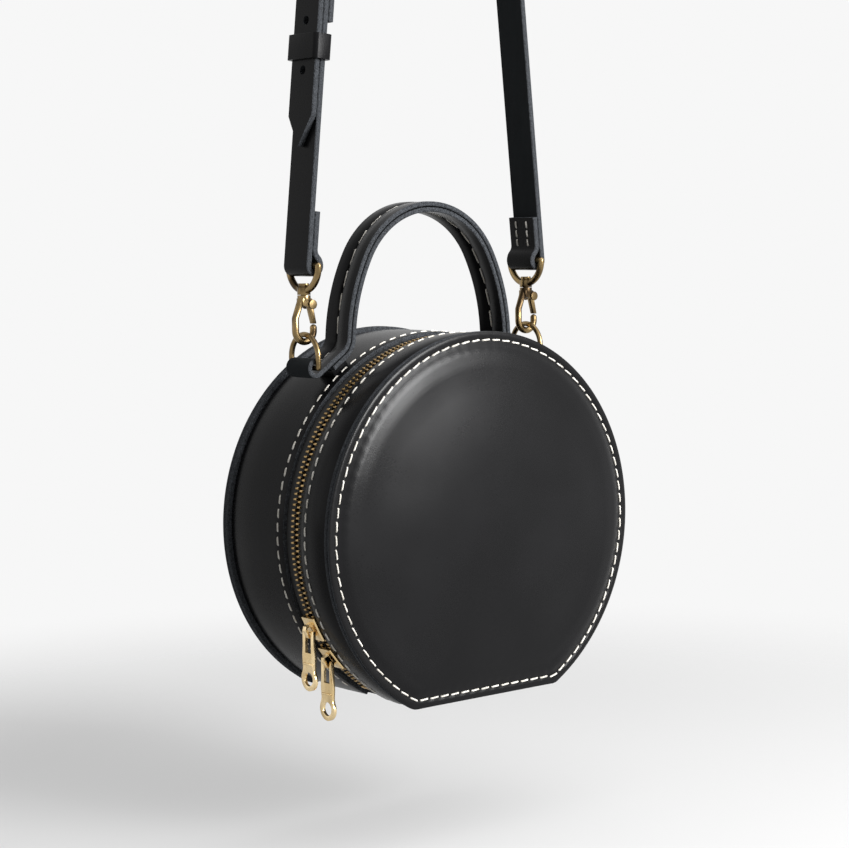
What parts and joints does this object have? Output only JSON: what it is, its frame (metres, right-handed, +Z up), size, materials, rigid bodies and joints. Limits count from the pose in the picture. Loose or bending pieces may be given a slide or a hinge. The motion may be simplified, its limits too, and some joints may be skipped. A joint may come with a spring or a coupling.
{
  "type": "circle bag",
  "caption": "Round leather handbag with a zip round its gusset, a two-layer top handle and a long buckled strap on snap hooks and D-rings.",
  "frame": {"origin": "centre of the strap's crown arc, where the strap goes over a peg or a shoulder", "axes": "+X across the bag to its right, +Y from its front disc to its back disc, +Z up"},
  "size_m": [0.19, 0.101, 0.7317],
  "materials": {
    "leather": "smooth black hide with a soft sheen and raw edges",
    "thread": "waxed cream thread",
    "zip_brass": "bright polished brass",
    "antique_brass": "aged brass, dark in its recesses",
    "zip_tape": "black woven tape"
  },
  "bodies": {
    "strap": {"strap_long": "leather", "strap_short": "leather", "strap_keeper": "leather", "buckle_frame": "antique_brass", "strap_thread_left": "thread", "strap_thread_right": "thread"},
    "prong": {"buckle_prong": "antique_brass"},
    "bag": {"back_panel": "leather", "rear_gusset": "leather", "base_rear": "leather", "back_seam_thread": "thread", "rear_zip_thread": "thread", "zip_tape_rear": "zip_tape", "zip_teeth_rear": "zip_brass", "zip_stops_rear": "zip_brass", "handle_outer": "leather", "handle_inner": "leather", "handle_pad_left": "leather", "handle_pad_right": "leather", "handle_thread": "thread"},
    "front_cover": {"front_panel": "leather", "front_gusset": "leather", "base_front": "leather", "front_seam_thread": "thread", "front_zip_thread": "thread", "zip_tape_front": "zip_tape", "zip_teeth_front": "zip_brass", "zip_stops_front": "zip_brass"},
    "slider_upper": {"slider_upper": "zip_brass"},
    "slider_lower": {"slider_lower": "zip_brass"},
    "pull_upper": {"pull_upper": "zip_brass"},
    "pull_lower": {"pull_lower": "zip_brass"},
    "eye_left": {"eye_left": "antique_brass"},
    "hook_left": {"hook_left": "antique_brass", "gate_pin_left": "antique_brass"},
    "gate_left": {"gate_left": "antique_brass"},
    "d_ring_left": {"d_ring_left": "antique_brass"},
    "eye_right": {"eye_right": "antique_brass"},
    "hook_right": {"hook_right": "antique_brass", "gate_pin_right": "antique_brass"},
    "gate_right": {"gate_right": "antique_brass"},
    "d_ring_right": {"d_ring_right": "antique_brass"}
  },
  "joints": [
    {"name": "bag_swing", "type": "hinge", "parent": "strap", "child": "bag", "pos_m": [0, 0, -0.5221], "axis": [1, 0, 0], "range_deg": [-30, 30]},
    {"name": "cover_open", "type": "hinge", "parent": "bag", "child": "front_cover", "pos_m": [0, -0.0182, -0.69465], "axis": [1, 0, 0], "range_deg": [0, 80]},
    {"name": "slider_upper_run", "type": "hinge", "parent": "bag", "child": "slider_upper", "pos_m": [0, -0.0182, -0.6133], "axis": [0, 1, 0], "range_deg": [0, 258]},
    {"name": "slider_lower_run", "type": "hinge", "parent": "bag", "child": "slider_lower", "pos_m": [0, -0.0182, -0.6133], "axis": [0, 1, 0], "range_deg": [-12, 0]},
    {"name": "pull_upper_swing", "type": "hinge", "parent": "slider_upper", "child": "pull_upper", "pos_m": [-0.0845, -0.0182, -0.65823], "axis": [0, 1, 0], "range_deg": [-10, 120]},
    {"name": "pull_lower_swing", "type": "hinge", "parent": "slider_lower", "child": "pull_lower", "pos_m": [-0.07384, -0.0182, -0.67417], "axis": [0, 1, 0], "range_deg": [-33, 10]},
    {"name": "prong_lift", "type": "hinge", "parent": "strap", "child": "prong", "pos_m": [-0.05482, 0, -0.32703], "axis": [0, -1, 0], "range_deg": [0, 6]},
    {"name": "eye_left_tip", "type": "hinge", "parent": "strap", "child": "eye_left", "pos_m": [-0.0711, 0, -0.486], "axis": [0, 1, 0], "range_deg": [-3.4, 3.4]},
    {"name": "hook_left_swivel", "type": "hinge", "parent": "eye_left", "child": "hook_left", "pos_m": [-0.0711, 0, -0.4983], "axis": [0, 0, 1], "range_deg": [-20, 20]},
    {"name": "gate_left_open", "type": "hinge", "parent": "hook_left", "child": "gate_left", "pos_m": [-0.0681, 0, -0.50435], "axis": [0, 1, 0], "range_deg": [0, 25], "stiffness_Nm_per_rad": 0.004, "springref_deg": -17.19},
    {"name": "ring_left_tip", "type": "hinge", "parent": "bag", "child": "d_ring_left", "pos_m": [-0.0711, 0, -0.5343], "axis": [0, 1, 0], "range_deg": [-8, 8]},
    {"name": "eye_right_tip", "type": "hinge", "parent": "strap", "child": "eye_right", "pos_m": [0.0711, 0, -0.486], "axis": [0, 1, 0], "range_deg": [-3.4, 3.4]},
    {"name": "hook_right_swivel", "type": "hinge", "parent": "eye_right", "child": "hook_right", "pos_m": [0.0711, 0, -0.4983], "axis": [0, 0, 1], "range_deg": [-20, 20]},
    {"name": "gate_right_open", "type": "hinge", "parent": "hook_right", "child": "gate_right", "pos_m": [0.0741, 0, -0.50435], "axis": [0, 1, 0], "range_deg": [0, 25], "stiffness_Nm_per_rad": 0.004, "springref_deg": -17.19},
    {"name": "ring_right_tip", "type": "hinge", "parent": "bag", "child": "d_ring_right", "pos_m": [0.0711, 0, -0.5343], "axis": [0, 1, 0], "range_deg": [-8, 8]}
  ],
  "couplings": [
    {"joint": "ring_left_tip", "follows": "eye_left_tip", "ratio": -2.31},
    {"joint": "ring_right_tip", "follows": "eye_right_tip", "ratio": -2.31}
  ]
}
